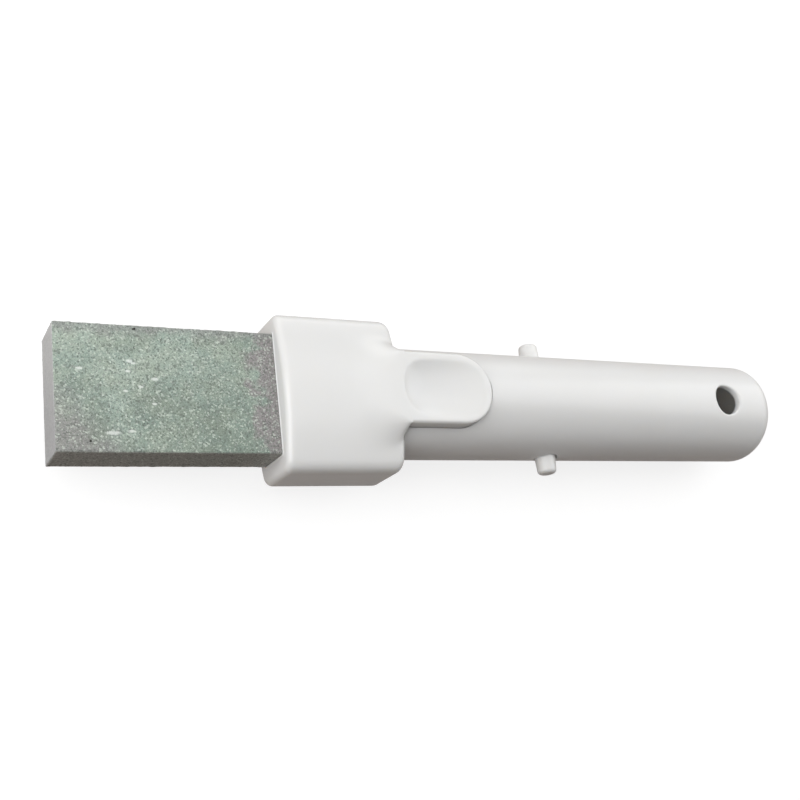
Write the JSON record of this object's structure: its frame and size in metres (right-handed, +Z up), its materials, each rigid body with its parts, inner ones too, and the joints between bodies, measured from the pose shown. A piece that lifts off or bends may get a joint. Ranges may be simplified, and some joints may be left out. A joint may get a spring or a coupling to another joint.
{
  "type": "pumice stone with pole",
  "caption": "Pumice scouring block glued into a plastic head on a short round handle with thumb pads, a hang hole and sprung buttons that lock it into a pole.",
  "frame": {"origin": "middle of the tool's length and width, on the surface that it lies on", "axes": "+X along the tool from the stone towards the handle's domed end, +Y across the head, +Z up through the dished thumb pad"},
  "size_m": [0.2118, 0.0406, 0.0316],
  "materials": {
    "pumice": "open, gritty, grey-green with light and dark grains",
    "white_plastic": "smooth moulded white"
  },
  "bodies": {
    "tool": {"pumice_stone": "pumice", "stone_holder": "white_plastic", "handle_tube": "white_plastic", "clip_bend": "white_plastic"},
    "left_arm": {"clip_arm_left": "white_plastic"},
    "right_arm": {"clip_arm_right": "white_plastic"}
  },
  "joints": [
    {"name": "left_button", "type": "hinge", "parent": "tool", "child": "left_arm", "pos_m": [0.0666, 0.01026, 0.0158], "axis": [0, 0, 1], "range_deg": [0, 6.4], "stiffness_Nm_per_rad": 2.8, "springref_deg": -1.72},
    {"name": "right_button", "type": "hinge", "parent": "tool", "child": "right_arm", "pos_m": [0.0666, -0.01026, 0.0158], "axis": [0, 0, -1], "range_deg": [0, 6.4], "stiffness_Nm_per_rad": 2.8, "springref_deg": -1.72}
  ]
}
